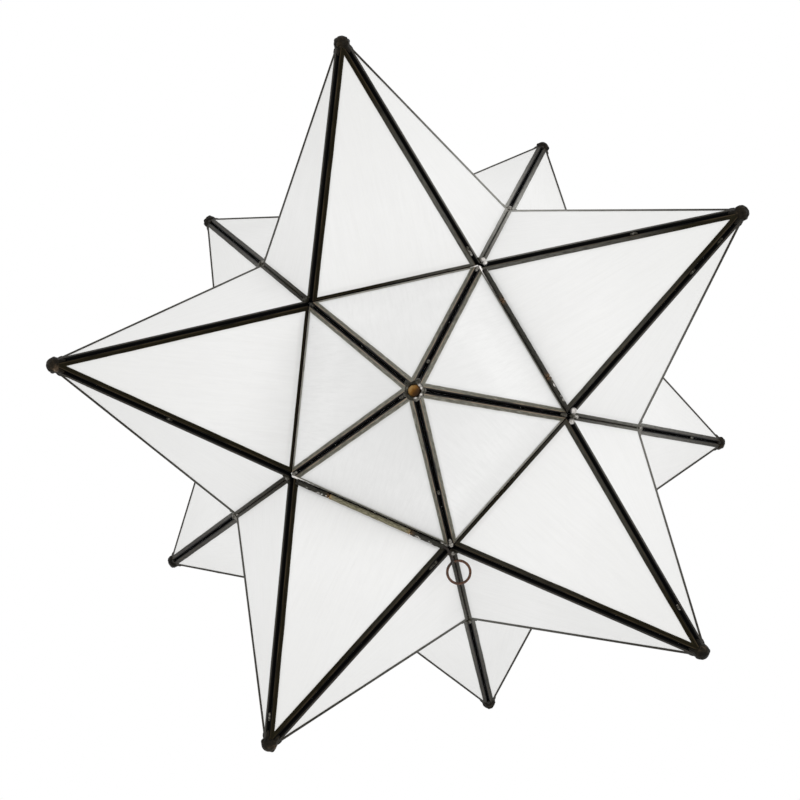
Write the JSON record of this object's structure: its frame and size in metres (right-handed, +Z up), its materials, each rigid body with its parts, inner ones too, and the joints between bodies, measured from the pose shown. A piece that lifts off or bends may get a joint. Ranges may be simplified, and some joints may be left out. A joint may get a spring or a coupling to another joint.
{
  "type": "moravian star pendant",
  "caption": "Hanging star lamp of frosted glass points framed in dark metal came, with a hinged point as lamp door, a pull-ring latch wire, a hanging loop and a lampholder.",
  "frame": {"origin": "centre of the hanging loop's eye", "axes": "+Z up along the axis of the star, from the lamp door to the hanging point; the eye runs along Y; the door's hinge is on the +Y side, with its wire along X"},
  "size_m": [0.4362, 0.4584, 0.5274],
  "materials": {
    "frosted_glass": "translucent white glass, softly frosted, faint brushed streaks",
    "came": "dark bronze patina, satin, rubbed to grey and tan along the flanges",
    "tip_solder": "knobbly solder with a brown-black patina",
    "tip_core": "rubbed brown copper",
    "solder": "solder, patinated dark with bare silvery spots",
    "tube": "dark patinated tube, tan at its ends",
    "latch_wire": "copper-brown wire",
    "dark_bronze": "dark bronze patina, satin",
    "brass": "plain brass, a little dull",
    "zinc_steel": "zinc-plated steel",
    "porcelain": "glazed white porcelain",
    "lamp_glass": "frosted lamp glass",
    "lamp_metal": "rolled screw base",
    "lamp_insulator": "black vitreous glass"
  },
  "bodies": {
    "star": {"came_top": "came", "glass_top": "frosted_glass", "came_lower_1": "came", "glass_lower_1": "frosted_glass", "came_upper_1": "came", "glass_upper_1": "frosted_glass", "came_lower_2": "came", "glass_lower_2": "frosted_glass", "came_upper_2": "came", "glass_upper_2": "frosted_glass", "came_lower_3": "came", "glass_lower_3": "frosted_glass", "came_upper_3": "came", "glass_upper_3": "frosted_glass", "came_lower_4": "came", "glass_lower_4": "frosted_glass", "came_upper_4": "came", "glass_upper_4": "frosted_glass", "came_lower_5": "came", "glass_lower_5": "frosted_glass", "came_upper_5": "came", "glass_upper_5": "frosted_glass", "tip_cap_lower": "tip_solder", "tip_bead_lower": "tip_core", "tip_cap_upper": "tip_solder", "tip_bead_upper": "tip_core", "solder_crown": "solder", "solder_belt": "solder", "solder_rim": "solder", "hinge_tubes_body": "tube", "latch_tubes_body": "tube", "hinge_pin": "tube", "hanging_loop": "dark_bronze", "top_hood": "dark_bronze", "top_washer": "zinc_steel", "top_nut": "zinc_steel", "holder_body": "porcelain", "holder_cup": "dark_bronze", "holder_screws": "zinc_steel", "holder_nuts": "zinc_steel", "holder_shell": "brass", "holder_contact": "brass", "stem_pipe": "brass"},
    "door": {"came_door": "came", "glass_door": "frosted_glass", "tip_cap_door": "tip_solder", "tip_bead_door": "tip_core", "solder_door": "solder", "hinge_tube_door": "tube", "latch_tube_door": "tube"},
    "latch_pin": {"latch_pin": "latch_wire"},
    "lamp": {"lamp_glass": "lamp_glass", "lamp_base": "lamp_metal", "lamp_insulator": "lamp_insulator", "lamp_button": "lamp_metal"}
  },
  "joints": [
    {"name": "door_hinge", "type": "hinge", "parent": "star", "child": "door", "pos_m": [0, 0.07307, -0.37778], "axis": [1, 0, 0], "range_deg": [0, 110]},
    {"name": "latch_pull", "type": "slide", "parent": "star", "child": "latch_pin", "axis": [-0.809, 0.5878, 0], "range_m": [0, 0.075]},
    {"name": "lamp_unscrew", "type": "slide", "parent": "star", "child": "lamp", "axis": [0, 0, -1], "range_m": [0, 0.031]}
  ]
}
